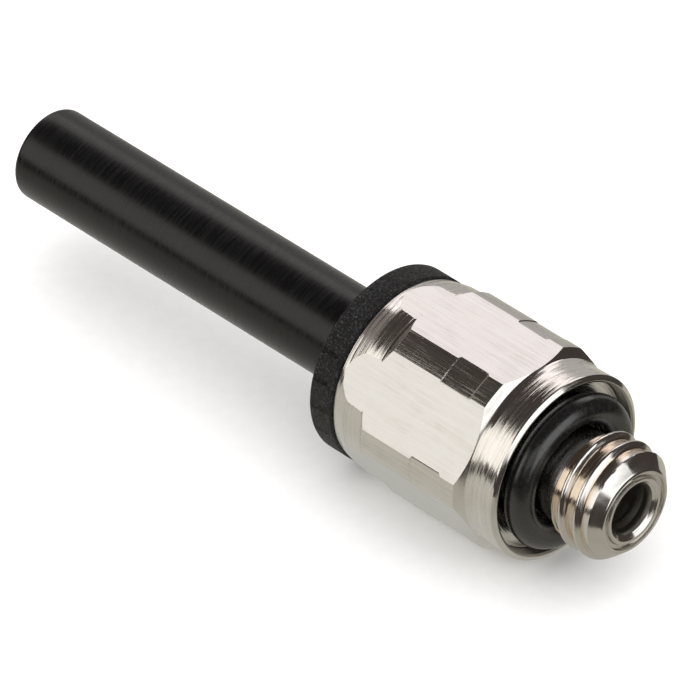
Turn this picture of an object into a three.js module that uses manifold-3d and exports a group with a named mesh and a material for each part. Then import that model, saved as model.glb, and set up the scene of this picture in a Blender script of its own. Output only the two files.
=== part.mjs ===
// A miniature push-to-connect fitting with a male thread, holding a 4 mm plug-in stem.
//
// Millimetres, +Z up. Every piece is turned about one axis, which runs along X towards the
// thread's tip. Stations along the axis are measured from the retaining collar's rear face.
// The part's origin is the middle of its box, on the surface that the fitting lies on.
import * as THREE from "three";
import Module from "manifold-3d";
import { mergeVertices } from "three/addons/utils/BufferGeometryUtils.js";

// ---- Driving dimensions ----------------------------------------------------------------
const STEM_D = 4.0; // plug-in stem, the size of the tube it stands in for
const STEM_BORE_D = 2.5;
const STEM_OUT = 19.1; // stem showing behind the collar
const HEX_AF = 8.0; // spanner size across the flats
const THREAD_D = 4.86; // M5 male thread: major diameter as made, below 5.0
const THREAD_ROOT_D = 4.36;
const THREAD_PITCH = 0.8;
const CREST_WIDTH = 0.1;
const NECK_D = 3.94; // plain neck behind the thread
const BORE_D = 2.0; // air passage through the thread
const COLLAR_D = 8.1;
const SIDES = 40; // facets round every turned piece
const FIT = 0.03; // gap left between pieces that sit against each other

// ---- Stations along the axis -----------------------------------------------------------
const COLLAR_FRONT = 1.2; // the brass body starts here
const SHOULDER_REAR = 2.02; // foot of the body's rear taper
const HEX_REAR = 2.88; // the corners of the hexagon start here ...
const CORNER_REAR = 3.19; // ... and are full from here
const BAND_REAR = 5.75; // shallow band turned into the corners
const BAND_FRONT = 7.33;
const HEX_FRONT = 8.1;
const CUP_REAR = 8.4; // foot of the front chamfer
const CUP_RIM = 9.87; // rim of the cup that holds the thread's seal
const CUP_FLOOR = 9.3;
const THREAD_REAR = 11.27;
const THREAD_CHAMFER = 12.92;
const CREST_STATION = 12.57; // the thread's crest passes this station ...
const CREST_ANGLE = THREE.MathUtils.degToRad(132.5); // ... at this angle about the axis
const TIP = 13.6;

// ---- Outside radii of the body ---------------------------------------------------------
const REAR_R = 3.935;
const SHOULDER_R = 4.15;
const CORNER_R = 4.34;
const BAND_R = 4.3;
const WAIST_R = 3.93; // behind the rim
const RIM_R = 3.98;
const RIM_CHAMFER = 0.13;
const CUP_R = 3.68; // inside of the cup
const TIP_R = 1.77;
const TIP_CHAMFER = 0.94; // fall of the thread's end chamfer per millimetre
const DISH_R = 1.33; // mouth of the bore
const DISH_DEPTH = 0.06;
const EDGE = 0.03; // a small step or broken edge

// ---- The cartridge inside the body -----------------------------------------------------
const CHAMBER_D = 7.0; // bore for the collar's sleeve, grip ring and seat
const CHAMBER_END = 4.5;
const SEAL_BORE_D = 6.5; // bore for the back-up ring and tube seal
const SEAL_BORE_END = 6.1;
const SOCKET_D = 4.12; // socket that the stem's front end sits in
const SOCKET_END = 7.7;
const SLEEVE_END = 3.3; // front end of the collar's sleeve
const LIP_D = 5.1; // collar's lip, which keeps the button in
const GROOVE_D = 5.6; // room for the button's snap rib
const GRIP = { rear: 3.35, thick: 0.2, bendR: 2.8, toothR: 2.05, lean: 0.9, teeth: 8, slot: 0.35 };
const SEAT = { rear: 3.6, mouthR: 3.1, throatR: 2.2, land: 0.07 };
const BACKUP = { rear: 4.55, front: 4.8 };

// ---- Release button --------------------------------------------------------------------
const BUTTON_TRAVEL = 0.5;
const BUTTON_FLANGE_D = 5.5;
const BUTTON_FLANGE_THICK = 0.3;
const BUTTON_NOSE = 3.3; // front end of the button's sleeve at rest
const BUTTON_BORE_D = 4.14;
const BUTTON_SLEEVE_D = 4.9;
const BUTTON_RIB = { diameter: 5.44, flat: 0.15, long: 0.6 }; // snap rib that keeps it in
const LEAD_IN = 0.2; // chamfer that guides the stem in

// ---- Seals -----------------------------------------------------------------------------
const THREAD_SEAL = { wire: 1.2, innerD: 4.2, station: 10.08 };
const TUBE_SEAL = { wire: 1.2, innerD: 4.06, station: 5.45 };

// ---- Small marks -----------------------------------------------------------------------
const NOTCH = { long: 0.76, wide: 0.16, deep: 0.12, spacing: 17, perSide: 5 };
const STEM_CHAMFER = 0.2;
const COLLAR_EDGE = 0.08;

const AXIS_HEIGHT = COLLAR_D / 2;
const MIDDLE = (TIP - STEM_OUT) / 2;

const kernel = await Module();
kernel.setup();

// ---- Shapes ----------------------------------------------------------------------------

// A ring of material turned about the X axis. The profile is a list of [station, radius]
// corners: forwards along the outside, then back along the inside.
function turned(profile, sides = SIDES) {
  const corners = [...profile, profile[0]].map(([x, r]) => new THREE.Vector2(r, x));
  return new THREE.LatheGeometry(corners, sides).rotateZ(-Math.PI / 2);
}

// An O-ring: a round section turned about the X axis.
function oRing({ wire, innerD, station }, sectionSides = 14) {
  const middleR = (innerD + wire) / 2;
  const profile = [];
  for (let i = 0; i < sectionSides; i++) {
    const a = Math.PI - (i / sectionSides) * 2 * Math.PI;
    profile.push([station + (wire / 2) * Math.cos(a), middleR + (wire / 2) * Math.sin(a)]);
  }
  return turned(profile);
}

// A box whose middle is at a station and a radius, turned by an angle about the X axis.
function boxAt(long, wide, deep, station, radius, angle) {
  return new THREE.BoxGeometry(long, wide, deep)
    .translate(station, 0, radius)
    .rotateX(angle);
}

// ---- Joins and cuts --------------------------------------------------------------------

function toSolid(geometry) {
  const bare = geometry.clone();
  bare.deleteAttribute("normal");
  bare.deleteAttribute("uv");
  const merged = mergeVertices(bare);
  return new kernel.Manifold(
    new kernel.Mesh({
      numProp: 3,
      vertProperties: merged.attributes.position.array,
      triVerts: new Uint32Array(merged.index.array),
    }),
  );
}

function toGeometry(solid) {
  const mesh = solid.getMesh();
  const geometry = new THREE.BufferGeometry();
  geometry.setAttribute("position", new THREE.BufferAttribute(mesh.vertProperties, 3));
  geometry.setIndex(new THREE.BufferAttribute(mesh.triVerts, 1));
  geometry.computeVertexNormals();
  return geometry;
}

function cut(geometry, tools) {
  const left = tools.reduce((solid, tool) => solid.subtract(toSolid(tool)), toSolid(geometry));
  return toGeometry(left);
}

// ---- Body: hexagon, seal cup, male thread and stepped bore -----------------------------

// Radius of a right-hand thread at a station and an angle about the X axis.
function threadRadius(x, angle) {
  const flank = ((THREAD_D - THREAD_ROOT_D) / 2) * Math.tan(Math.PI / 6);
  const turns = (x - CREST_STATION) / THREAD_PITCH - (angle - CREST_ANGLE) / (2 * Math.PI);
  const away = Math.abs(turns - Math.round(turns)) * THREAD_PITCH;
  const down = THREE.MathUtils.clamp((away - CREST_WIDTH / 2) / flank, 0, 1);
  return THREE.MathUtils.lerp(THREAD_D, THREAD_ROOT_D, down) / 2;
}

// Lowers the blank's outer surface to the thread, wherever the blank stands above it.
function cutThread(geometry) {
  const position = geometry.attributes.position;
  for (let i = 0; i < position.count; i++) {
    const [x, y, z] = [position.getX(i), position.getY(i), position.getZ(i)];
    const radius = Math.hypot(y, z);
    if (x < THREAD_REAR || radius < THREAD_ROOT_D / 2) continue;
    const scale = Math.min(1, threadRadius(x, Math.atan2(z, y)) / radius);
    position.setXYZ(i, x, y * scale, z * scale);
  }
  return geometry;
}

// Outline of the thread's blank: a step up from the neck, a ramp, the major diameter and the
// end chamfer.
function threadBlank() {
  const step = THREAD_PITCH / 8;
  const rootR = THREAD_ROOT_D / 2;
  const profile = [
    [THREAD_REAR, NECK_D / 2],
    [THREAD_REAR, rootR],
  ];
  for (let x = THREAD_REAR + step; x < TIP - step / 2; x += step) {
    const ramp = rootR + x - THREAD_REAR;
    const chamfer = THREAD_D / 2 - (x - THREAD_CHAMFER) * TIP_CHAMFER;
    profile.push([x, Math.min(ramp, THREAD_D / 2, chamfer)]);
  }
  return profile;
}

function body() {
  const outside = [
    [COLLAR_FRONT + FIT, REAR_R],
    [SHOULDER_REAR, SHOULDER_R - EDGE / 2],
    [HEX_REAR, SHOULDER_R],
    [CORNER_REAR, CORNER_R],
    [BAND_REAR - EDGE, CORNER_R],
    [BAND_REAR + EDGE, BAND_R],
    [BAND_FRONT - EDGE, BAND_R],
    [BAND_FRONT + EDGE, CORNER_R],
    [HEX_FRONT, CORNER_R],
    [CUP_REAR, WAIST_R + EDGE],
    [CUP_REAR + 0.4, WAIST_R],
    [CUP_RIM - RIM_CHAMFER, RIM_R],
    [CUP_RIM, RIM_R - RIM_CHAMFER],
    [CUP_RIM, CUP_R],
    [CUP_FLOOR, CUP_R],
    [CUP_FLOOR, NECK_D / 2],
    ...threadBlank(),
    [TIP, TIP_R],
  ];
  const inside = [
    [TIP, DISH_R],
    [TIP - DISH_DEPTH, BORE_D / 2],
    [SOCKET_END, BORE_D / 2],
    [SOCKET_END, SOCKET_D / 2],
    [SEAL_BORE_END, SOCKET_D / 2],
    [SEAL_BORE_END, SEAL_BORE_D / 2],
    [CHAMBER_END, SEAL_BORE_D / 2],
    [CHAMBER_END, CHAMBER_D / 2],
    [COLLAR_FRONT + FIT, CHAMBER_D / 2],
  ];
  const blank = toSolid(cutThread(turned([...outside, ...inside])));
  const sharpR = HEX_AF / Math.sqrt(3);
  const hexagon = new THREE.CylinderGeometry(sharpR, sharpR, 3 * TIP, 6)
    .rotateZ(-Math.PI / 2)
    .rotateX(Math.PI / 6);
  return toGeometry(blank.intersect(toSolid(hexagon)));
}

// ---- Cartridge pieces ------------------------------------------------------------------

function retainingCollar() {
  const outerR = COLLAR_D / 2;
  const ring = turned([
    [0, outerR - COLLAR_EDGE],
    [COLLAR_EDGE, outerR],
    [COLLAR_FRONT - EDGE, outerR],
    [COLLAR_FRONT, outerR - EDGE],
    [COLLAR_FRONT, CHAMBER_D / 2 - FIT],
    [SLEEVE_END, CHAMBER_D / 2 - FIT],
    [SLEEVE_END, GROOVE_D / 2],
    [COLLAR_FRONT, GROOVE_D / 2],
    [COLLAR_FRONT, LIP_D / 2],
    [0, LIP_D / 2],
  ]);
  const notches = [];
  for (const side of [90, -90]) {
    for (let i = 0; i < NOTCH.perSide; i++) {
      const angle = side + (i - (NOTCH.perSide - 1) / 2) * NOTCH.spacing;
      const turn = THREE.MathUtils.degToRad(angle);
      notches.push(boxAt(2 * NOTCH.long, NOTCH.wide, 2 * NOTCH.deep, 0, outerR, turn));
    }
  }
  return cut(ring, notches);
}

function releaseButton() {
  const flangeFront = -BUTTON_TRAVEL - FIT;
  const flangeRear = flangeFront - BUTTON_FLANGE_THICK;
  const ribRear = COLLAR_FRONT + FIT;
  return turned([
    [flangeRear, BUTTON_FLANGE_D / 2 - COLLAR_EDGE],
    [flangeRear + COLLAR_EDGE, BUTTON_FLANGE_D / 2],
    [flangeFront, BUTTON_FLANGE_D / 2],
    [flangeFront, BUTTON_SLEEVE_D / 2],
    [ribRear, BUTTON_SLEEVE_D / 2],
    [ribRear, BUTTON_RIB.diameter / 2],
    [ribRear + BUTTON_RIB.flat, BUTTON_RIB.diameter / 2],
    [ribRear + BUTTON_RIB.long, BUTTON_SLEEVE_D / 2],
    [BUTTON_NOSE - LEAD_IN, BUTTON_SLEEVE_D / 2],
    [BUTTON_NOSE, BUTTON_SLEEVE_D / 2 - LEAD_IN],
    [BUTTON_NOSE, BUTTON_BORE_D / 2],
    [flangeRear + LEAD_IN, BUTTON_BORE_D / 2],
    [flangeRear, BUTTON_BORE_D / 2 + LEAD_IN],
  ]);
}

// A flat rim with sprung teeth that lean forwards and inwards onto the stem.
function gripRing() {
  const rimR = CHAMBER_D / 2 - FIT;
  const reach = (GRIP.bendR - GRIP.toothR) * GRIP.lean;
  const ring = turned([
    [GRIP.rear, GRIP.bendR],
    [GRIP.rear, rimR],
    [GRIP.rear + GRIP.thick, rimR],
    [GRIP.rear + GRIP.thick, GRIP.bendR],
    [GRIP.rear + GRIP.thick + reach, GRIP.toothR],
    [GRIP.rear + reach, GRIP.toothR],
  ]);
  const middle = GRIP.rear + (GRIP.thick + reach) / 2;
  const slots = [];
  for (let i = 0; i < GRIP.teeth; i++) {
    const turn = ((i + 0.5) / GRIP.teeth) * 2 * Math.PI;
    const deep = 2 * (GRIP.bendR - GRIP.toothR);
    slots.push(boxAt(3 * reach, GRIP.slot, deep, middle, GRIP.bendR - deep / 2, turn));
  }
  return cut(ring, slots);
}

function gripSeat() {
  const outerR = CHAMBER_D / 2 - FIT;
  return turned([
    [SEAT.rear, outerR],
    [CHAMBER_END - FIT, outerR],
    [CHAMBER_END - FIT, SEAT.throatR],
    [CHAMBER_END - FIT - SEAT.land, SEAT.throatR],
    [SEAT.rear, SEAT.mouthR],
  ]);
}

function backupRing() {
  return turned([
    [BACKUP.rear, SEAL_BORE_D / 2 - FIT],
    [BACKUP.front, SEAL_BORE_D / 2 - FIT],
    [BACKUP.front, STEM_D / 2 + FIT],
    [BACKUP.rear, STEM_D / 2 + FIT],
  ]);
}

function plugInStem() {
  const front = SOCKET_END - 0.1;
  return turned([
    [-STEM_OUT, STEM_D / 2 - STEM_CHAMFER],
    [STEM_CHAMFER - STEM_OUT, STEM_D / 2],
    [front - STEM_CHAMFER, STEM_D / 2],
    [front, STEM_D / 2 - STEM_CHAMFER],
    [front, STEM_BORE_D / 2],
    [-STEM_OUT, STEM_BORE_D / 2],
  ]);
}

// ---- Finishes and assembly -------------------------------------------------------------

const nickel = new THREE.MeshStandardMaterial({ color: 0xcfcac2, roughness: 0.25, metalness: 1 });
const steel = new THREE.MeshStandardMaterial({ color: 0xb9bcc0, roughness: 0.3, metalness: 1 });
const rubber = new THREE.MeshStandardMaterial({ color: 0x141414, roughness: 0.5, metalness: 0 });
const blackNylon = new THREE.MeshStandardMaterial({ color: 0x161617, roughness: 0.45, metalness: 0 });
const sparkedNylon = new THREE.MeshStandardMaterial({ color: 0x1b1b1c, roughness: 0.8, metalness: 0 });
const paleAcetal = new THREE.MeshStandardMaterial({ color: 0xd9d6cc, roughness: 0.5, metalness: 0 });

const PIECES = [
  ["body", body(), nickel],
  ["thread_seal", oRing(THREAD_SEAL), rubber],
  ["retaining_collar", retainingCollar(), sparkedNylon],
  ["release_button", releaseButton(), blackNylon],
  ["grip_ring", gripRing(), steel],
  ["grip_seat", gripSeat(), paleAcetal],
  ["backup_ring", backupRing(), paleAcetal],
  ["tube_seal", oRing(TUBE_SEAL, 12), rubber],
  ["stem", plugInStem(), blackNylon],
];

const fitting = new THREE.Group();
fitting.name = "fitting";
for (const [name, geometry, material] of PIECES) {
  const mesh = new THREE.Mesh(geometry, material);
  mesh.name = name;
  fitting.add(mesh);
}
fitting.position.set(-MIDDLE, 0, AXIS_HEIGHT);

const part = new THREE.Group();
part.add(fitting);
export default part;
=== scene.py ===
"""The looks of a miniature push-to-connect fitting that holds a 4 mm plug-in stem.

Every piece is shaped in millimetres about the fitting's own axis, which runs along X towards the
thread's tip, with stations measured from the retaining collar's rear face. It is placed in the
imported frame, in metres, when its shape is done.
"""
import logging
import math
import random
from collections.abc import Iterable, Sequence
from dataclasses import dataclass
from enum import Enum

import bmesh
import bpy
from mathutils import Matrix, Vector


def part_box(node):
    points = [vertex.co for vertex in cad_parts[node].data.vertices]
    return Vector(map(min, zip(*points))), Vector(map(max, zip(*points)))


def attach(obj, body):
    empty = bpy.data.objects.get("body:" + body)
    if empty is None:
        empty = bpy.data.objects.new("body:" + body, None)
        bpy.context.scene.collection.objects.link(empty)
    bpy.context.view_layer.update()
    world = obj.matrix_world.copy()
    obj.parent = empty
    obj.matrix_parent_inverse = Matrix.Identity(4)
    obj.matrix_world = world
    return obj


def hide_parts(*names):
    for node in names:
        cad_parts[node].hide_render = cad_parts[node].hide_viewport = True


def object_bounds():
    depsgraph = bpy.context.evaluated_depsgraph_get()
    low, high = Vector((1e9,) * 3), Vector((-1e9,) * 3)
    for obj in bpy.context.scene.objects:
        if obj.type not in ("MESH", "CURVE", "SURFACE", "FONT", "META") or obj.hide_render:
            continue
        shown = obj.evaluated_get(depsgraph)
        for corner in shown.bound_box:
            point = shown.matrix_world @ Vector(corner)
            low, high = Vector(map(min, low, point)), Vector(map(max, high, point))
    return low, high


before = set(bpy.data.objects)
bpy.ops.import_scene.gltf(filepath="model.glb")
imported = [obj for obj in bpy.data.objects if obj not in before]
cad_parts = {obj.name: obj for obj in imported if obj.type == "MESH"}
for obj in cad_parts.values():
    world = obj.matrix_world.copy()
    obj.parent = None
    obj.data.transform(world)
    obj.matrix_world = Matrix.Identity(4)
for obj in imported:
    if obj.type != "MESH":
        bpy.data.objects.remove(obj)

LOG = logging.getLogger("fitting")
MM = 0.001
MOST_CORNERS = 8  # a face with more corners is a flat, and is shaded flat
CAD_LOW, CAD_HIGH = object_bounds()
COLLAR_LOW, COLLAR_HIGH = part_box("retaining_collar")
ORIGIN = Vector((COLLAR_LOW.x, 0.0, (COLLAR_LOW.z + COLLAR_HIGH.z) / 2))
PLACE = Matrix.Translation(ORIGIN) @ Matrix.Scale(MM, 4)

Colour = tuple[float, float, float]
Paint = Colour | bpy.types.NodeSocket
Point = tuple[float, float]
Turned = tuple[float, float, float]  # depth, radius and rounding of a corner


class Grain(Enum):
    """Which way the fine marks of a surface run."""

    AROUND = "around"  # rings left by turning
    ALONG = "along"  # lines left by drawing the bar
    EVEN = "even"  # no direction


class Work(Enum):
    """How a stretch of the body's surface was worked, in the order of its material slots."""

    TURNED = 0
    DRAWN = 1
    MILLED = 2
    THREADED = 3
    BORED = 4


# ---- Outlines and turned shapes --------------------------------------------------------------


@dataclass(frozen=True)
class Corner:
    """A corner of a turned outline.

    Args:
        x: Its station along the axis.
        r: Its radius.
        soft: How far from the corner its rounding starts, or 0 for a sharp corner.
    """

    x: float
    r: float
    soft: float = 0.0


def rounded(corners: Sequence[Corner], steps: int = 4) -> list[Point]:
    """Turns the corners of a closed outline into points, with a curve at each soft corner.

    Args:
        corners: The outline's corners in order.
        steps: How many stretches each curve has.

    Returns:
        The points, as stations and radii.
    """
    points: list[Point] = []
    for i, corner in enumerate(corners):
        here = Vector((corner.x, corner.r))
        if not corner.soft:
            points.append(tuple(here))
            continue
        before, after = corners[i - 1], corners[(i + 1) % len(corners)]
        start = here + (Vector((before.x, before.r)) - here).normalized() * corner.soft
        end = here + (Vector((after.x, after.r)) - here).normalized() * corner.soft
        for k in range(steps + 1):
            u = k / steps
            points.append(tuple(start * (1 - u) ** 2 + here * 2 * u * (1 - u) + end * u * u))
    return points


def tool_marks(start: Corner, end: Corner, pitch: float, depth: float, seed: int) -> list[Corner]:
    """Makes the shallow rings that a turning tool leaves between two corners.

    Args:
        start: Corner at the rear end of the stretch.
        end: Corner at its front end.
        pitch: Distance between rings.
        depth: Largest height of a ring.
        seed: Seed of the heights.

    Returns:
        The corners of the rings, without the two ends.
    """
    heights = random.Random(seed)
    count = round((end.x - start.x) / pitch)
    made = []
    for i in range(1, count):
        u = i / count
        r = start.r + (end.r - start.r) * u + heights.uniform(-depth, 0)
        made.append(Corner(start.x + (end.x - start.x) * u, r))
    return made


def spin_outline(points: Sequence[Point], steps: int, closed: bool = True,
                 phase: float = 0.0) -> bmesh.types.BMesh:
    """Spins an outline once round the X axis.

    Args:
        points: The outline, as stations and radii.
        steps: Facets round the axis.
        closed: Whether the outline's last point joins its first.
        phase: Angle from +Z at which the first facet starts, in degrees.

    Returns:
        The turned mesh, facing outwards.
    """
    bm = bmesh.new()
    turn = math.radians(phase)
    verts = [bm.verts.new((x, -r * math.sin(turn), r * math.cos(turn))) for x, r in points]
    edges = [bm.edges.new(pair) for pair in zip(verts, verts[1:])]
    if closed:
        edges.append(bm.edges.new((verts[-1], verts[0])))
    bmesh.ops.spin(bm, geom=[*verts, *edges], cent=(0, 0, 0), axis=(1, 0, 0), dvec=(0, 0, 0),
                   angle=math.tau, steps=steps, use_merge=True, use_normal_flip=False,
                   use_duplicate=False)
    bmesh.ops.remove_doubles(bm, verts=bm.verts, dist=1e-5)
    bmesh.ops.recalc_face_normals(bm, faces=bm.faces)
    return bm


def radius_of(point: Vector) -> float:
    """Gives a point's distance from the axis."""
    return math.hypot(point.y, point.z)


def angle_of(point: Vector) -> float:
    """Gives a point's angle about the axis, from +Y towards +Z, in degrees from 0 to 360."""
    return math.degrees(math.atan2(point.z, point.y)) % 360


def place_piece(bm: bmesh.types.BMesh, name: str, body: str, node: str,
                finishes: Iterable[bpy.types.Material], crease: float = 35.0) -> bpy.types.Object:
    """Places a finished shape in the frame and says what it stands for.

    Args:
        bm: The shape, in millimetres about the fitting's axis. It is freed.
        name: The piece's name.
        body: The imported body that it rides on.
        node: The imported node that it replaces.
        finishes: Its materials, in the order of the faces' material numbers.
        crease: Edges sharper than this many degrees stay crisp.

    Returns:
        The piece.
    """
    bm.transform(PLACE)
    mesh = bpy.data.meshes.new(name)
    bm.to_mesh(mesh)
    bm.free()
    mesh.set_sharp_from_angle(angle=math.radians(crease))
    for polygon in mesh.polygons:
        polygon.use_smooth = polygon.loop_total <= MOST_CORNERS
    for finish in finishes:
        mesh.materials.append(finish)
    piece = bpy.data.objects.new(name, mesh)
    bpy.context.scene.collection.objects.link(piece)
    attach(piece, body)
    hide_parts(node)
    LOG.info("%s: %d faces on %s", name, len(mesh.polygons), body)
    return piece


# ---- Finishes --------------------------------------------------------------------------------


class Recipe:
    """A material's node tree, with one short method for each kind of step."""

    def __init__(self, name: str) -> None:
        """Starts a material that holds only its shader.

        Args:
            name: The material's name.
        """
        self.material = bpy.data.materials.new(name)
        self.material.use_nodes = True
        self.tree = self.material.node_tree
        self.shader = self.tree.nodes["Principled BSDF"]

    def step(self, kind: str, wires: dict, **settings) -> bpy.types.Node:
        """Adds a node.

        Args:
            kind: The node's type, without its ShaderNode prefix.
            wires: What goes into each input: a socket, or a plain value.
            settings: The node's own settings.

        Returns:
            The node.
        """
        node = self.tree.nodes.new("ShaderNode" + kind)
        for key, value in settings.items():
            setattr(node, key, value)
        for key, value in wires.items():
            self.feed(node.inputs[key], value)
        return node

    def feed(self, socket: bpy.types.NodeSocket, value: object) -> None:
        """Wires a socket into an input, or sets its plain value.

        Args:
            socket: The input.
            value: A socket, or a plain value.
        """
        if isinstance(value, bpy.types.NodeSocket):
            self.tree.links.new(value, socket)
        else:
            socket.default_value = value

    def point(self) -> bpy.types.NodeSocket:
        """Gives the surface's point, in millimetres about the fitting's axis.

        Returns:
            The point.
        """
        seen = self.step("TexCoord", {}).outputs["Object"]
        wires = {"Vector": seen, "Location": -ORIGIN / MM, "Scale": (1 / MM,) * 3}
        return self.step("Mapping", wires).outputs[0]

    def math(self, operation: str, *values: object) -> bpy.types.NodeSocket:
        """Adds one sum. The values are sockets or numbers."""
        wires = dict(enumerate(values))
        return self.step("Math", wires, operation=operation).outputs[0]

    def station(self) -> bpy.types.NodeSocket:
        """Gives the surface's station along the axis, in millimetres."""
        return self.step("SeparateXYZ", {0: self.point()}).outputs[0]

    def radius(self) -> bpy.types.NodeSocket:
        """Gives the surface's distance from the axis, in millimetres.

        Returns:
            The distance.
        """
        apart = self.step("SeparateXYZ", {0: self.point()}).outputs
        squares = self.math("MULTIPLY_ADD", apart[1], apart[1],
                            self.math("MULTIPLY", apart[2], apart[2]))
        return self.math("SQRT", squares)

    def stretched(self, grain: Grain, across: float, with_it: float) -> bpy.types.NodeSocket:
        """Gives a point that varies fast across the grain and slowly along it.

        Args:
            grain: Which way the marks run.
            across: Marks per millimetre across the grain.
            with_it: Changes per millimetre along it.

        Returns:
            The vector for a noise texture.
        """
        point = self.point()
        if grain is not Grain.AROUND:
            along = with_it if grain is Grain.ALONG else across
            wires = {0: point, 1: (along, across, across)}
            return self.step("VectorMath", wires, operation="MULTIPLY").outputs[0]
        apart = self.step("SeparateXYZ", {0: point}).outputs
        out = self.math("ADD", self.radius(), apart[0])
        side = self.math("MULTIPLY", apart[1], with_it)
        height = self.math("MULTIPLY", apart[2], with_it)
        lines = self.math("MULTIPLY", out, across)
        return self.step("CombineXYZ", {0: lines, 1: side, 2: height}).outputs[0]

    def noise(self, vector: bpy.types.NodeSocket, detail: float = 3.0,
              roughness: float = 0.6) -> bpy.types.NodeSocket:
        """Gives a noise from 0 to 1 on a vector that is already scaled."""
        wires = {"Vector": vector, "Scale": 1.0, "Detail": detail, "Roughness": roughness}
        return self.step("TexNoise", wires).outputs["Fac"]

    def span(self, value: bpy.types.NodeSocket, low: float, high: float, start: float = 0.3,
             end: float = 0.7) -> bpy.types.NodeSocket:
        """Maps a value from start and end to low and high, and holds it between them."""
        wires = {"Value": value, "From Min": start, "From Max": end, "To Min": low, "To Max": high}
        return self.step("MapRange", wires).outputs[0]

    def blend(self, share: bpy.types.NodeSocket, first: Paint,
              second: Paint) -> bpy.types.NodeSocket:
        """Mixes two colours, plain or wired, by a share from 0 to 1."""
        ends = [c if isinstance(c, bpy.types.NodeSocket) else (*c, 1.0) for c in (first, second)]
        return self.step("Mix", {0: share, 6: ends[0], 7: ends[1]}, data_type="RGBA").outputs[2]

    def relief(self, height: bpy.types.NodeSocket, depth: float,
               under: bpy.types.NodeSocket | None = None) -> bpy.types.NodeSocket:
        """Gives the normal of a relief.

        Args:
            height: Its height, from 0 to 1.
            depth: What a height of 1 stands for, in millimetres.
            under: The normal of a relief that it lies on.

        Returns:
            The normal.
        """
        wires = {"Strength": 1.0, "Distance": depth * MM, "Height": height}
        if under:
            wires["Normal"] = under
        return self.step("Bump", wires).outputs[0]

    def shade(self, **inputs: object) -> bpy.types.Material:
        """Wires the shader's inputs, named with _ for a space.

        Args:
            inputs: What goes into each input of the shader.

        Returns:
            The material.
        """
        for key, value in inputs.items():
            self.feed(self.shader.inputs[key.replace("_", " ")], value)
        return self.material


@dataclass(frozen=True)
class WorkedMetal:
    """Metal with tool marks: nickel plate over worked brass, or bare spring steel.

    Args:
        name: The material's name.
        grain: Which way the tool marks run.
        marks: Tool marks per millimetre.
        depth: Height of the marks, in millimetres.
        gloss: Roughness from smoothest to roughest.
        tint: Colour of the surface.
        stain: Its colour where it is dull.
        warm_root_r: Radius below which brass colour is painted, or 0 for none. It stands partly for
            the brass showing under scant plate in the thread's roots and partly for painted
            reflection: the warm light bounced between the flanks.
        warm_root_along: Stations where that stretch starts and ends.
        brass: The colour painted there.
    """

    name: str
    grain: Grain
    marks: float
    depth: float
    gloss: Point
    tint: Colour = (0.82, 0.80, 0.77)
    stain: Colour = (0.70, 0.67, 0.63)
    warm_root_r: float = 0.0
    warm_root_along: Point = (0.0, 0.0)
    brass: Colour = (0.66, 0.53, 0.39)

    def make(self) -> bpy.types.Material:
        """Builds the metal, duller where its marks are deep and its plate is worn.

        Returns:
            The material.
        """
        recipe = Recipe(self.name)
        coarse = recipe.noise(recipe.stretched(self.grain, self.marks, 0.12), 2.0)
        fine = recipe.noise(recipe.stretched(self.grain, self.marks * 3.1, 0.5), 2.0, 0.7)
        cloud = recipe.noise(recipe.stretched(Grain.EVEN, 0.9, 0.9), 4.0)
        low, high = self.gloss
        worn = recipe.math("MULTIPLY", recipe.span(fine, 0.0, 1.0, 0.4, 0.66),
                           recipe.span(cloud, 0.45, 1.0))
        rough = recipe.math("MULTIPLY_ADD", worn, high - low, low)
        dull = recipe.math("MULTIPLY", recipe.span(coarse, 0.0, 1.0), recipe.span(cloud, 0.3, 1.0))
        colour = recipe.blend(dull, self.tint, self.stain)
        # Painted reflection, partly real: brass colour in the thread's roots stands for the brass
        # under scant plate and for the warm light bounced between the flanks.
        if self.warm_root_r:
            station = recipe.station()
            start, end = self.warm_root_along
            deep = recipe.span(recipe.radius(), 1.0, 0.0, self.warm_root_r, self.warm_root_r + 0.06)
            inside = recipe.math("MULTIPLY", recipe.span(station, 0.0, 1.0, start, start + 0.2),
                                 recipe.span(station, 1.0, 0.0, end - 0.1, end))
            root_brass_and_glow = recipe.math("MULTIPLY", recipe.math("MULTIPLY", deep, inside),
                               recipe.span(cloud, 0.5, 1.0))
            colour = recipe.blend(root_brass_and_glow, colour, self.brass)
        broad = recipe.relief(coarse, self.depth)
        return recipe.shade(Base_Color=colour, Metallic=1.0, Roughness=rough,
                            Normal=recipe.relief(fine, self.depth * 0.25, broad))


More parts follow.
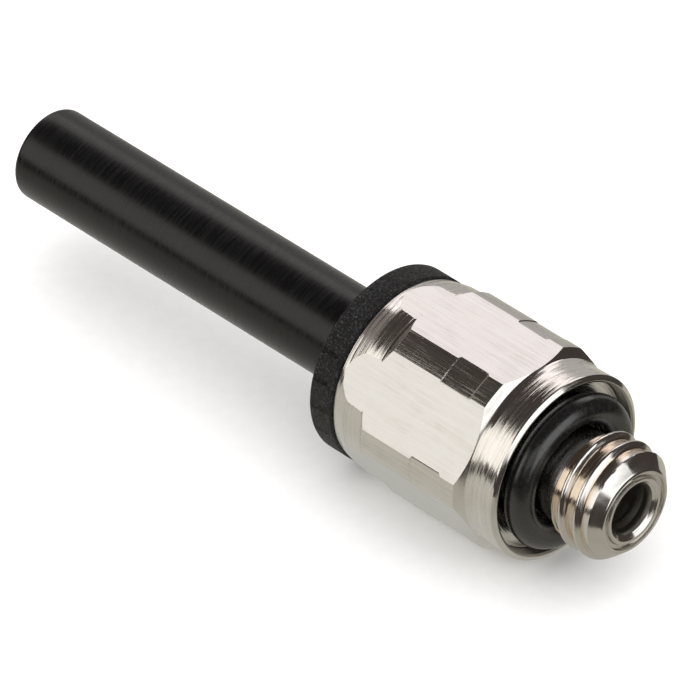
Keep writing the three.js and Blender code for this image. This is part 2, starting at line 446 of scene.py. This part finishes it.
@dataclass(frozen=True)
class Moulded:
    """Black or natural moulded plastic.

    Args:
        name: The material's name.
        colour: Its colour.
        faded: Its colour where it is rubbed.
        gloss: Roughness from smoothest to roughest.
        grain: Which way its fine lines run.
        lines: Lines per millimetre.
        depth: Height of the lines, in millimetres.
        pits: Sparked pits per millimetre, or 0 for a smooth mould.
        pit_depth: Depth of the pits, in millimetres.
        shine: Strength of its reflections, 0.5 for plain plastic.
    """

    name: str
    colour: Colour
    faded: Colour
    gloss: Point
    grain: Grain = Grain.EVEN
    lines: float = 8.0
    depth: float = 0.001
    pits: float = 0.0
    pit_depth: float = 0.0
    shine: float = 0.5

    def make(self) -> bpy.types.Material:
        """Builds the plastic, paler where it is rubbed or pitted.

        Returns:
            The material.
        """
        recipe = Recipe(self.name)
        low, high = self.gloss
        lines = recipe.noise(recipe.stretched(self.grain, self.lines, 0.6), 3.0)
        cloud = recipe.noise(recipe.stretched(Grain.EVEN, 0.7, 0.7), 5.0, 0.65)
        rubbed = recipe.math("MULTIPLY", recipe.span(lines, 0.0, 1.0, 0.4, 0.75),
                             recipe.span(cloud, 0.0, 1.0, 0.35, 0.65))
        normal = recipe.relief(lines, self.depth)
        if self.pits:
            spots = recipe.noise(recipe.stretched(Grain.EVEN, self.pits, self.pits), 2.0, 0.7)
            normal = recipe.relief(recipe.span(spots, 0.0, 1.0, 0.35, 0.65), self.pit_depth, normal)
            rubbed = recipe.span(spots, 0.0, 1.0, 0.52, 0.7)
        return recipe.shade(Base_Color=recipe.blend(rubbed, self.colour, self.faded),
                            Roughness=recipe.span(lines, low, high), Normal=normal,
                            Specular_IOR_Level=self.shine)


PLATE_FINISHES: dict[Work, WorkedMetal] = {
    Work.TURNED: WorkedMetal("plate_turned", Grain.AROUND, 7.0, 0.016, (0.08, 0.38)),
    Work.DRAWN: WorkedMetal("plate_drawn", Grain.ALONG, 7.0, 0.012, (0.12, 0.42)),
    Work.MILLED: WorkedMetal("plate_milled", Grain.ALONG, 3.2, 0.002, (0.12, 0.24),
                             tint=(0.66, 0.655, 0.645), stain=(0.61, 0.60, 0.585)),
    # The threaded finish paints brass in its roots, partly painted reflection of light bounced
    # between the flanks.
    Work.THREADED: WorkedMetal("plate_threaded", Grain.AROUND, 6.5, 0.012, (0.1, 0.34),
                               warm_root_r=2.22, warm_root_along=(11.1, 12.98)),
    # Painted shade: the bored walls of the cup and bore are tinted dark for the dark rubber and
    # hollow they mirror.
    Work.BORED: WorkedMetal("plate_bored_painted_shade", Grain.AROUND, 6.0, 0.02, (0.3, 0.6),
                            tint=(0.50, 0.48, 0.44), stain=(0.34, 0.32, 0.28)),
}
RUBBER = Moulded("seal_rubber", (0.004, 0.004, 0.0042), (0.011, 0.011, 0.0115), (0.2, 0.32),
                 lines=5.0, depth=0.002, shine=1.0)
STEM_NYLON = Moulded("stem_nylon", (0.0022, 0.0022, 0.0024), (0.0065, 0.0065, 0.007), (0.22, 0.34),
                     Grain.AROUND, lines=9.0, depth=0.002, shine=0.42)
COLLAR_NYLON = Moulded("collar_nylon", (0.003, 0.003, 0.0032), (0.05, 0.05, 0.051), (0.5, 0.75),
                       pits=13.0, pit_depth=0.035)
BUTTON_NYLON = Moulded("button_nylon", (0.006, 0.006, 0.0065), (0.02, 0.02, 0.021), (0.42, 0.55),
                       pits=14.0, pit_depth=0.006)
ACETAL = Moulded("seat_acetal", (0.72, 0.70, 0.63), (0.62, 0.60, 0.53), (0.35, 0.5),
                 Grain.AROUND, lines=5.0, depth=0.002)
SPRING_STEEL = WorkedMetal("spring_steel", Grain.EVEN, 8.0, 0.002, (0.18, 0.32),
                           tint=(0.58, 0.59, 0.60), stain=(0.46, 0.46, 0.47))


# ---- Body ------------------------------------------------------------------------------------


@dataclass
class HexBody:
    """The plated body: hexagon, seal cup, male thread and stepped bore."""

    across_flats: float = 8.0
    rear: float = 1.23
    rear_r: float = 3.97
    shoulder_rear: float = 2.02
    shoulder_foot_r: float = 4.137
    shoulder_r: float = 4.15
    hex_rear: float = 2.88
    corner_rear: float = 3.19
    corner_r: float = 4.34
    band_rear: float = 5.75
    band_front: float = 7.33
    band_r: float = 4.30
    hex_front: float = 8.1
    cup_rear: float = 8.4
    cup_rear_r: float = 3.945
    cup_front_r: float = 3.985
    rim: float = 9.93
    rim_ridge: Point = (3.76, 3.80)
    cup_r: float = 3.68
    cup_floor: float = 9.3
    neck_r: float = 1.97
    thread_rear: float = 11.27
    thread_r: float = 2.43
    root_r: float = 2.18
    pitch: float = 0.8
    crest_width: float = 0.06
    flank_width: float = 0.2
    crest_station: float = 12.57
    crest_angle: float = 132.5
    chamfer_station: float = 12.92
    chamfer_slope: float = 0.94
    tip: float = 13.6
    tip_r: float = 1.80
    tip_face: tuple[Turned, ...] = (
        (0.0, 1.74, 0.03), (0.0, 1.67, 0.01),  # outer land
        (0.12, 1.64, 0.02), (0.12, 1.47, 0.02),  # groove
        (0.0, 1.43, 0.01), (0.0, 1.29, 0.03),  # inner land
    )
    bore_r: float = 1.0
    mouth_r: float = 1.11
    stem_stop: float = 7.7
    socket_r: float = 2.06
    seal_front: float = 6.1
    seal_bore_r: float = 3.25
    chamber_front: float = 4.5
    chamber_r: float = 3.5
    roll: float = 0.045
    steps: int = 300

    def outside(self) -> list[Corner]:
        """Gives the outline from the rear end to the thread's neck.

        Returns:
            The corners, from rear to front.
        """
        rear_edge = Corner(self.rear + 0.02, self.rear_r)
        rear_foot = Corner(self.shoulder_rear, self.shoulder_foot_r, 0.1)
        rear_end = Corner(self.hex_rear - 0.04, self.shoulder_r)
        cup_start = Corner(self.cup_rear + 0.22, self.cup_rear_r, 0.12)
        cup_end = Corner(self.rim - 0.15, self.cup_front_r)
        inner, outer = self.rim_ridge
        return [
            Corner(self.rear, self.rear_r - 0.02),
            rear_edge,
            *tool_marks(rear_edge, rear_foot, 0.06, 0.009, 2),
            rear_foot,
            *tool_marks(rear_foot, rear_end, 0.06, 0.008, 3),
            rear_end,
            Corner(self.hex_rear, self.shoulder_r - 0.02),
            Corner(self.corner_rear, self.corner_r, 0.04),
            Corner(self.band_rear - 0.02, self.corner_r, 0.01),
            Corner(self.band_rear + 0.03, self.band_r),
            Corner(self.band_rear + 0.06, self.band_r),
            Corner(self.band_front - 0.06, self.band_r),
            Corner(self.band_front - 0.02, self.band_r),
            Corner(self.band_front + 0.04, self.corner_r - 0.01, 0.01),
            Corner(self.hex_front, self.corner_r - 0.01, 0.03),
            Corner(self.cup_rear, self.cup_rear_r + 0.035, 0.04),
            cup_start,
            *tool_marks(cup_start, cup_end, 0.06, 0.007, 5),
            cup_end,
            Corner(self.rim - 0.11, self.cup_front_r - 0.01),
            Corner(self.rim - 0.09, self.cup_front_r - 0.045),
            Corner(self.rim, outer, 0.03),
            Corner(self.rim, inner, 0.02),
            Corner(self.rim - 0.05, self.cup_r),
            Corner(self.cup_floor, self.cup_r - 0.02, 0.05),
            Corner(self.cup_floor, self.neck_r, 0.08),
            Corner(self.thread_rear, self.neck_r),
        ]

    def thread_blank(self) -> list[Corner]:
        """Gives the outline of the bar that the thread is cut in, in fine steps.

        Returns:
            The corners, from rear to front.
        """
        step = self.pitch / 36
        end = self.chamfer_station + (self.thread_r - self.tip_r) / self.chamfer_slope
        made = []
        for i in range(int((end - self.thread_rear) / step)):
            x = self.thread_rear + i * step
            ramp = self.root_r + x - self.thread_rear
            chamfer = self.thread_r - (x - self.chamfer_station) * self.chamfer_slope
            made.append(Corner(x, min(ramp, self.thread_r, chamfer)))
        return made

    def inside(self) -> list[Corner]:
        """Gives the outline from the tip back through the stepped bore.

        Returns:
            The corners, from front to rear.
        """
        tip, mouth = self.tip, Corner(self.tip - 0.18, self.mouth_r)
        drilled = tool_marks(Corner(self.thread_rear, self.mouth_r), mouth, 0.13, 0.07, 7)
        return [
            Corner(tip - 0.02, self.tip_r, 0.01),
            *(Corner(tip - deep, radius, soft) for deep, radius, soft in self.tip_face),
            Corner(tip - 0.15, self.mouth_r + 0.02, 0.01),
            mouth,
            *reversed(drilled),
            Corner(self.thread_rear, self.bore_r),
            Corner(self.stem_stop, self.bore_r),
            Corner(self.stem_stop, self.socket_r),
            Corner(self.seal_front, self.socket_r),
            Corner(self.seal_front, self.seal_bore_r),
            Corner(self.chamber_front, self.seal_bore_r),
            Corner(self.chamber_front, self.chamber_r),
            Corner(self.rear, self.chamber_r),
        ]

    def thread_radius(self, x: float, angle: float) -> float:
        """Gives the right-hand thread's radius.

        Args:
            x: The station.
            angle: The angle about the axis, in degrees.

        Returns:
            The radius there.
        """
        turns = (x - self.crest_station) / self.pitch - (angle - self.crest_angle) / 360
        away = abs(turns - round(turns)) * self.pitch
        down = min(max((away - self.crest_width / 2) / self.flank_width, 0.0), 1.0)
        return self.thread_r + (self.root_r - self.thread_r) * down * down * (3 - 2 * down)

    def cut_thread(self, bm: bmesh.types.BMesh) -> None:
        """Lowers the blank to the thread, wherever it stands above it.

        Args:
            bm: The body's mesh.
        """
        for vert in bm.verts:
            radius = radius_of(vert.co)
            if vert.co.x < self.thread_rear or radius < self.root_r:
                continue
            scale = min(1.0, self.thread_radius(vert.co.x, angle_of(vert.co)) / radius)
            vert.co.yz = vert.co.yz * scale

    def mill_flats(self, bm: bmesh.types.BMesh) -> None:
        """Cuts the six flats of the hexagon and closes them.

        Args:
            bm: The body's mesh.
        """
        for i in range(6):
            turn = math.radians(90 + 60 * i)
            out = Vector((0, math.cos(turn), math.sin(turn)))
            everything = [*bm.verts, *bm.edges, *bm.faces]
            cut = bmesh.ops.bisect_plane(bm, geom=everything, dist=1e-6,
                                         plane_co=out * self.across_flats / 2, plane_no=out,
                                         clear_outer=True)
            edge_loop = [e for e in cut["geom_cut"] if isinstance(e, bmesh.types.BMEdge)]
            filled = bmesh.ops.edgeloop_fill(bm, edges=edge_loop)
            for face in filled["faces"]:
                face.material_index = Work.MILLED.value

    def soften_flats(self, bm: bmesh.types.BMesh) -> None:
        """Rolls over the long edges of the hexagon's flats.

        Args:
            bm: The body's mesh.
        """
        long_edges = []
        for edge in bm.edges:
            a, b = (v.co for v in edge.verts)
            straight = abs(a.y - b.y) < 1e-4 and abs(a.z - b.z) < 1e-4
            milled = sum(f.material_index == Work.MILLED.value for f in edge.link_faces) == 1
            if straight and milled and radius_of(a) > self.shoulder_r + 0.1:
                long_edges.append(edge)
        bmesh.ops.bevel(bm, geom=long_edges, offset=self.roll, offset_type="OFFSET", segments=4,
                        profile=0.5, affect="EDGES", clamp_overlap=False, material=-1)

    def work_at(self, face: bmesh.types.BMFace) -> Work:
        """Says how the surface at a face was worked.

        Args:
            face: A face of the body.

        Returns:
            Its kind of work.
        """
        centre = face.calc_center_median()
        radius = radius_of(centre)
        inwards = face.normal.yz.dot(centre.yz) < -0.2 * radius
        if face.material_index == Work.MILLED.value:
            return Work.MILLED
        if centre.x > self.cup_floor and radius < self.thread_r + 0.17:
            return Work.BORED if inwards and radius < self.mouth_r + 0.01 else Work.THREADED
        # Inner walls take the bored finish, whose dark tint is painted shade, as the bore's mouth
        # does above.
        if centre.x < self.rim and inwards:
            return Work.BORED
        if radius > self.shoulder_r + 0.05 and centre.x < self.hex_front:
            return Work.DRAWN
        return Work.TURNED

    def build(self) -> bpy.types.Object:
        """Builds the body and dresses it.

        Returns:
            The body.
        """
        corners = [*self.outside(), *self.thread_blank(), *self.inside()]
        bm = spin_outline(rounded(corners), self.steps, phase=0.6)
        self.cut_thread(bm)
        self.mill_flats(bm)
        self.soften_flats(bm)
        bmesh.ops.recalc_face_normals(bm, faces=bm.faces)
        for face in bm.faces:
            face.material_index = self.work_at(face).value
        finishes = [PLATE_FINISHES[work].make() for work in Work]
        return place_piece(bm, "body_plated", "fitting", "body", finishes, 30.0)


# ---- Seals -----------------------------------------------------------------------------------


@dataclass
class Seal:
    """An O-ring with the faint parting line of its mould."""

    name: str
    node: str
    station: float
    inner_r: float
    wire: float
    flash: float = 0.008
    section_steps: int = 40
    steps: int = 180

    def outline(self) -> list[Point]:
        """Gives the section, a circle with a slight ridge inside and outside.

        Returns:
            The points round the section.
        """
        middle = self.inner_r + self.wire / 2
        points = []
        for i in range(self.section_steps):
            turn = math.tau * i / self.section_steps
            on_line = i in (self.section_steps // 4, 3 * self.section_steps // 4)
            r = self.wire / 2 + (self.flash if on_line else 0.0)
            points.append((self.station + r * math.cos(turn), middle + r * math.sin(turn)))
        return points

    def build(self, finish: bpy.types.Material) -> bpy.types.Object:
        """Builds the seal in its rubber."""
        bm = spin_outline(self.outline(), self.steps)
        return place_piece(bm, self.name, "fitting", self.node, [finish], 60.0)


# ---- Collar and release button ---------------------------------------------------------------


@dataclass
class ReleaseEnd:
    """The retaining collar and the release button inside it."""

    collar_r: float = 4.05
    collar_front: float = 1.2
    collar_edge: float = 0.08
    front_chamfer: float = 0.07
    sleeve_r: float = 3.47
    sleeve_end: float = 3.3
    lip_r: float = 2.55
    groove_r: float = 2.8
    notch_long: float = 0.76
    notch_half: float = 1.0
    notch_deep: float = 0.1
    notch_spacing: float = 17.0
    notch_reach: int = 2
    button_flange: Point = (-0.83, -0.53)
    flange_r: float = 2.75
    button_r: float = 2.45
    rib_r: float = 2.72
    nose_r: float = 2.25
    hole_r: float = 2.07
    button_nose: float = 3.3

    def collar_outline(self) -> list[Corner]:
        """Gives the collar's section: flange, sleeve and the lip that keeps the button in.

        Returns:
            The corners round the section.
        """
        edge, chamfer = self.collar_edge, self.front_chamfer
        return [
            Corner(0, self.collar_r - edge - self.notch_deep),
            Corner(0, self.collar_r - edge),
            Corner(0.02, self.collar_r - 0.025),
            Corner(edge, self.collar_r),
            Corner(self.notch_long, self.collar_r),
            Corner(self.collar_front - chamfer, self.collar_r, 0.02),
            Corner(self.collar_front, self.collar_r - chamfer),
            Corner(self.collar_front, self.sleeve_r),
            Corner(self.sleeve_end, self.sleeve_r, 0.05),
            Corner(self.sleeve_end, self.groove_r, 0.03),
            Corner(self.collar_front, self.groove_r),
            Corner(self.collar_front, self.lip_r),
            Corner(0, self.lip_r, 0.08),
        ]

    def notch_angles(self) -> list[float]:
        """Gives the angles of the notches, a group on each side of the collar."""
        reach = range(-self.notch_reach, self.notch_reach + 1)
        return [side + i * self.notch_spacing for side in (0.0, 180.0) for i in reach]

    def in_notch(self, face: bmesh.types.BMFace) -> bool:
        """Says whether a face lies in the angle of a notch.

        Args:
            face: A face of the collar.

        Returns:
            True if it does.
        """
        angle = angle_of(face.calc_center_median())
        away = (abs((angle - a + 180) % 360 - 180) for a in self.notch_angles())
        return any(a < self.notch_half for a in away)

    def cut_notches(self, bm: bmesh.types.BMesh) -> None:
        """Sinks the short notches that run forwards from the collar's rear edge.

        Args:
            bm: The collar's mesh.
        """
        floor_r = self.collar_r - self.collar_edge
        sunk = []
        for face in bm.faces:
            centre = face.calc_center_median()
            outer = radius_of(centre) > floor_r and centre.x < self.notch_long
            if outer and self.in_notch(face):
                sunk.append(face)
        lowered = bmesh.ops.extrude_face_region(bm, geom=sunk)["geom"]
        for vert in (v for v in lowered if isinstance(v, bmesh.types.BMVert)):
            radius = radius_of(vert.co)
            vert.co.yz = vert.co.yz * ((radius - self.notch_deep) / radius)
        mouths = []
        for face in bm.faces:
            centre = face.calc_center_median()
            band = floor_r - self.notch_deep < radius_of(centre) < floor_r
            if abs(centre.x) < 1e-4 and band and self.in_notch(face):
                mouths.append(face)
        bmesh.ops.delete(bm, geom=mouths, context="FACES")
        bmesh.ops.remove_doubles(bm, verts=bm.verts, dist=1e-4)
        bmesh.ops.recalc_face_normals(bm, faces=bm.faces)

    def build_collar(self) -> bpy.types.Object:
        """Builds the collar in its sparked nylon.

        Returns:
            The collar.
        """
        bm = spin_outline(rounded(self.collar_outline()), 360)
        self.cut_notches(bm)
        return place_piece(bm, "collar_sparked", "fitting", "retaining_collar",
                           [COLLAR_NYLON.make()], 40.0)

    def build_button(self) -> bpy.types.Object:
        """Builds the release button, with its flange, snap rib and tapered nose.

        Returns:
            The button.
        """
        rear, front = self.button_flange
        rib = self.collar_front + 0.03
        corners = [
            Corner(rear, self.hole_r, 0.16),
            Corner(rear, self.flange_r, 0.1),
            Corner(front, self.flange_r, 0.05),
            Corner(front, self.button_r, 0.03),
            Corner(rib, self.button_r),
            Corner(rib, self.rib_r, 0.02),
            Corner(rib + 0.15, self.rib_r, 0.04),
            Corner(rib + 0.6, self.button_r, 0.04),
            Corner(self.button_nose - 0.25, self.button_r, 0.04),
            Corner(self.button_nose, self.nose_r, 0.04),
            Corner(self.button_nose, self.hole_r, 0.03),
        ]
        bm = spin_outline(rounded(corners), 160)
        return place_piece(bm, "button_moulded", "button", "release_button",
                           [BUTTON_NYLON.make()], 40.0)

    def build(self) -> None:
        """Builds both pieces."""
        self.build_collar()
        self.build_button()


# ---- Cartridge -------------------------------------------------------------------------------


@dataclass
class Cartridge:
    """The grip ring, its seat and the back-up ring, inside the body."""

    chamber_r: float = 3.47
    grip_rear: float = 3.35
    grip_thick: float = 0.2
    bend_r: float = 2.8
    tooth_r: float = 2.06
    tooth_slope: float = 0.9
    teeth: int = 8
    slot_half: float = 4.4
    seat_rear: float = 3.6
    seat_front: float = 4.47
    seat_outer_r: float = 3.1
    seat_inner_r: float = 2.2
    backup_rear: float = 4.55
    backup_front: float = 4.8
    backup_r: Point = (2.03, 3.22)
    steps: int = 160

    def build_grip_ring(self) -> bpy.types.Object:
        """Builds the grip ring as a pressed sheet: a flat rim with teeth that lean inwards.

        Returns:
            The grip ring.
        """
        x = self.grip_rear
        tip = x + (self.bend_r - self.tooth_r) * self.tooth_slope
        outline = rounded([Corner(x, self.chamber_r), Corner(x, self.bend_r, 0.08),
                           Corner(tip, self.tooth_r)])
        bm = spin_outline(outline, self.steps, closed=False)
        gap = 360 / self.teeth
        slots = []
        for face in bm.faces:
            centre = face.calc_center_median()
            off = (angle_of(centre) + gap / 2) % gap - gap / 2
            if abs(off) < self.slot_half and radius_of(centre) < self.bend_r + 0.05:
                slots.append(face)
        bmesh.ops.delete(bm, geom=slots, context="FACES")
        for face in bm.faces:
            if face.normal.x > 0:
                face.normal_flip()
        bmesh.ops.solidify(bm, geom=bm.faces[:], thickness=self.grip_thick)
        bmesh.ops.recalc_face_normals(bm, faces=bm.faces)
        return place_piece(bm, "grip_ring_pressed", "grip", "grip_ring",
                           [SPRING_STEEL.make()])

    def build_seat(self, finish: bpy.types.Material) -> bpy.types.Object:
        """Builds the seat, with the hollow cone that the teeth lean into.

        Args:
            finish: Its acetal.

        Returns:
            The seat.
        """
        rear, front = self.seat_rear, self.seat_front
        corners = [Corner(rear, self.seat_outer_r, 0.03), Corner(rear, self.chamber_r, 0.04),
                   Corner(front, self.chamber_r, 0.04), Corner(front, self.seat_inner_r, 0.03),
                   Corner(front - 0.07, self.seat_inner_r, 0.02)]
        bm = spin_outline(rounded(corners), self.steps)
        return place_piece(bm, "grip_seat_turned", "fitting", "grip_seat", [finish])

    def build_backup(self, finish: bpy.types.Material) -> bpy.types.Object:
        """Builds the back-up ring behind the stem's seal.

        Args:
            finish: Its acetal.

        Returns:
            The back-up ring.
        """
        rear, front = self.backup_rear, self.backup_front
        inner, outer = self.backup_r
        corners = [Corner(rear, inner, 0.03), Corner(rear, outer, 0.04),
                   Corner(front, outer, 0.04), Corner(front, inner, 0.03)]
        bm = spin_outline(rounded(corners), self.steps)
        return place_piece(bm, "backup_ring_turned", "fitting", "backup_ring",
                           [finish])

    def build(self) -> None:
        """Builds the three pieces."""
        acetal = ACETAL.make()
        self.build_grip_ring()
        self.build_seat(acetal)
        self.build_backup(acetal)


# ---- Stem ------------------------------------------------------------------------------------


@dataclass
class PlugInStem:
    """The hollow plug-in stem."""

    rear: float = -19.1
    front: float = 7.6
    outer_r: float = 2.0
    bore_r: float = 1.25
    rounding: float = 0.24
    steps: int = 180

    def build(self) -> bpy.types.Object:
        """Builds the stem with softly rounded ends and fine rings.

        Returns:
            The stem.
        """
        start = Corner(self.rear, self.outer_r, self.rounding)
        end = Corner(self.front, self.outer_r, self.rounding)
        corners = [
            Corner(self.rear, self.bore_r, 0.08),
            start,
            *tool_marks(Corner(self.rear + 0.6, self.outer_r), Corner(-0.2, self.outer_r),
                        0.11, 0.0012, 11),
            end,
            Corner(self.front, self.bore_r, 0.08),
        ]
        bm = spin_outline(rounded(corners, 6), self.steps)
        return place_piece(bm, "stem_moulded", "tube", "stem", [STEM_NYLON.make()])


# ---- Studio ----------------------------------------------------------------------------------


@dataclass(frozen=True)
class SoftBox:
    """A soft light that faces the fitting.

    Args:
        name: The light's name.
        azimuth: Its direction from the fitting, from +X towards +Y, in degrees.
        elevation: Its height over the horizon, in degrees.
        away: Its distance, in metres.
        spread: How wide and how high it looks from the fitting, in degrees.
        glow: Its brightness as seen in a mirror.
        colour: Its colour.
        mirrored: Whether shiny surfaces show it.
    """

    name: str
    azimuth: float
    elevation: float
    away: float
    spread: Point
    glow: float
    colour: Colour = (1.0, 1.0, 1.0)
    mirrored: bool = True

    def hang(self, centre: Vector) -> bpy.types.Object:
        """Hangs the light so that it faces a point.

        Args:
            centre: The point.

        Returns:
            The light.
        """
        width, height = (2 * self.away * math.tan(math.radians(s / 2)) for s in self.spread)
        lamp = bpy.data.lights.new(self.name, "AREA")
        lamp.shape = "RECTANGLE"
        lamp.size, lamp.size_y = width, height
        lamp.energy = self.glow * math.pi * width * height
        lamp.color = self.colour
        light = bpy.data.objects.new(self.name, lamp)
        turn, rise = math.radians(self.azimuth), math.radians(self.elevation)
        out = Vector((math.cos(turn) * math.cos(rise), math.sin(turn) * math.cos(rise),
                      math.sin(rise)))
        light.location = centre + out * self.away
        light.rotation_euler = out.to_track_quat("Z", "Y").to_euler()
        light.visible_camera = False
        light.visible_glossy = self.mirrored
        bpy.context.scene.collection.objects.link(light)
        return light


@dataclass
class Studio:
    """The floor, the soft lights and the camera.

    Args:
        azimuth: The camera's direction, from -Y towards +X, in degrees.
        elevation: Its height over the horizon, in degrees.
        distance: Its distance from what it is aimed at, in metres.
        lens: Its focal length, in millimetres.
        aim: What it is aimed at, from the middle of the collar's rear face, in millimetres.
        floor_r: Radius of the floor, in metres.
        card_r: Radius of the glowing grey card that only reflections show, in metres.
        card_middle: Middle of the card, in metres.
        card_lift: Its height over the floor, in metres.
        gloom: Colour of the room behind the lights.
        boxes: The soft lights.
    """

    azimuth: float = 45.3
    elevation: float = 37.45
    distance: float = 0.316
    lens: float = 416.0
    aim: tuple[float, float, float] = (-1.029, -0.801, 0.220)
    floor_r: float = 1.4
    card_r: float = 0.030
    card_middle: Point = (-0.008, 0.0)
    card_lift: float = 0.00002
    gloom: Colour = (0.055, 0.045, 0.04)
    boxes: tuple[SoftBox, ...] = (
        SoftBox("high_behind", 127, 36, 0.30, (66, 20), 1.3, (1.0, 0.93, 0.92)),
        SoftBox("low_behind", 127, 8, 0.31, (66, 37), 0.42, (1.0, 0.97, 0.95)),
        SoftBox("left", 238, 22, 0.30, (56, 37), 1.2, (1.0, 0.96, 0.90)),
        SoftBox("right", 4, 19, 0.32, (56, 47), 1.35),
        SoftBox("rear", 183, 26, 0.34, (40, 26), 0.18, (1.0, 0.92, 0.88)),
        SoftBox("front_side", -50, 28, 0.34, (30, 30), 0.6),
        SoftBox("overhead", 0, 90, 0.45, (130, 130), 1.4, mirrored=False),
    )

    def lay_disc(self, name: str, radius: float, middle: Point, height: float,
                 recipe: Recipe) -> bpy.types.Object:
        """Lays a round sheet.

        Args:
            name: The sheet's name.
            radius: Its radius, in metres.
            middle: Its middle, in metres.
            height: Its height above the surface that the fitting lies on, in metres.
            recipe: Its finished material.

        Returns:
            The sheet.
        """
        bm = bmesh.new()
        bmesh.ops.create_circle(bm, cap_ends=True, segments=96, radius=radius)
        mesh = bpy.data.meshes.new(name)
        bmesh.ops.translate(bm, verts=bm.verts, vec=(*middle, CAD_LOW.z + height))
        bm.to_mesh(mesh)
        bm.free()
        mesh.materials.append(recipe.material)
        sheet = bpy.data.objects.new(name, mesh)
        bpy.context.scene.collection.objects.link(sheet)
        return sheet

    def lay_floor(self) -> None:
        """Lays the pale floor, and a glowing card on it that paints the floor's reflection."""
        paper = Recipe("floor_paper")
        fibre = paper.span(paper.noise(paper.stretched(Grain.EVEN, 1.5, 1.5), 5.0), 0.0, 1.0)
        paper.shade(Base_Color=paper.blend(fibre, (0.90, 0.90, 0.90), (0.93, 0.93, 0.93)),
                    Roughness=0.9, Specular_IOR_Level=0.0)
        floor = self.lay_disc("floor", self.floor_r, (0.0, 0.0), 0.0, paper)
        floor.visible_glossy = False
        # Painted reflection: the card glows by emission rather than being lit, and its tone is
        # painted dimmer away from the fitting's side and towards the tip, setting how bright the
        # floor looks in the metal.
        grey = Recipe("card_painted_reflection")
        beside = grey.blend(grey.span(grey.radius(), 0.0, 1.0, 5.0, 8.5), (0.46, 0.455, 0.43),
                            (0.32, 0.31, 0.27))
        forward = grey.span(grey.station(), 0.0, 1.0, 6.0, 15.0)
        painted_reflection_tone = grey.blend(forward, beside, (0.19, 0.18, 0.145))
        grey.shade(Base_Color=(0.16, 0.155, 0.14, 1.0), Roughness=0.9, Specular_IOR_Level=0.0,
                   Emission_Color=painted_reflection_tone, Emission_Strength=1.0)
        card = self.lay_disc("card", self.card_r, self.card_middle, self.card_lift, grey)
        card.visible_camera = False
        card.visible_diffuse = False
        card.visible_shadow = False

    def light_up(self) -> None:
        """Sets the dim room and hangs the soft lights."""
        world = bpy.data.worlds.new("room")
        world.use_nodes = True
        world.node_tree.nodes["Background"].inputs["Color"].default_value = (*self.gloom, 1.0)
        bpy.context.scene.world = world
        for box in self.boxes:
            box.hang(ORIGIN)

    def aim_camera(self) -> None:
        """Sets the camera at its angle and aims it a little beside the collar."""
        turn, rise = math.radians(self.azimuth), math.radians(self.elevation)
        back = Vector((math.sin(turn) * math.cos(rise), -math.cos(turn) * math.cos(rise),
                       math.sin(rise)))
        data = bpy.data.cameras.new("camera")
        data.lens = self.lens
        data.sensor_width = 36.0
        data.clip_start, data.clip_end = 0.01, 5.0
        camera = bpy.data.objects.new("camera", data)
        camera.location = ORIGIN + Vector(self.aim) * MM + back * self.distance
        camera.rotation_euler = back.to_track_quat("Z", "Y").to_euler()
        bpy.context.scene.collection.objects.link(camera)
        bpy.context.scene.camera = camera

    def build(self) -> None:
        """Sets up everything round the fitting."""
        self.aim_camera()
        self.lay_floor()
        self.light_up()
        view = bpy.context.scene.view_settings
        view.view_transform = "Standard"
        view.look = "None"


def main() -> None:
    """Builds every sub-assembly in order."""
    logging.basicConfig(level=logging.INFO, format="%(message)s")
    Studio().build()
    rubber = RUBBER.make()
    HexBody().build()
    Seal("thread_seal_ring", "thread_seal", station=10.08, inner_r=2.1, wire=1.2).build(rubber)
    Seal("tube_seal_ring", "tube_seal", station=5.45, inner_r=2.03, wire=1.2).build(rubber)
    ReleaseEnd().build()
    Cartridge().build()
    PlugInStem().build()


if __name__ == "__main__":
    main()
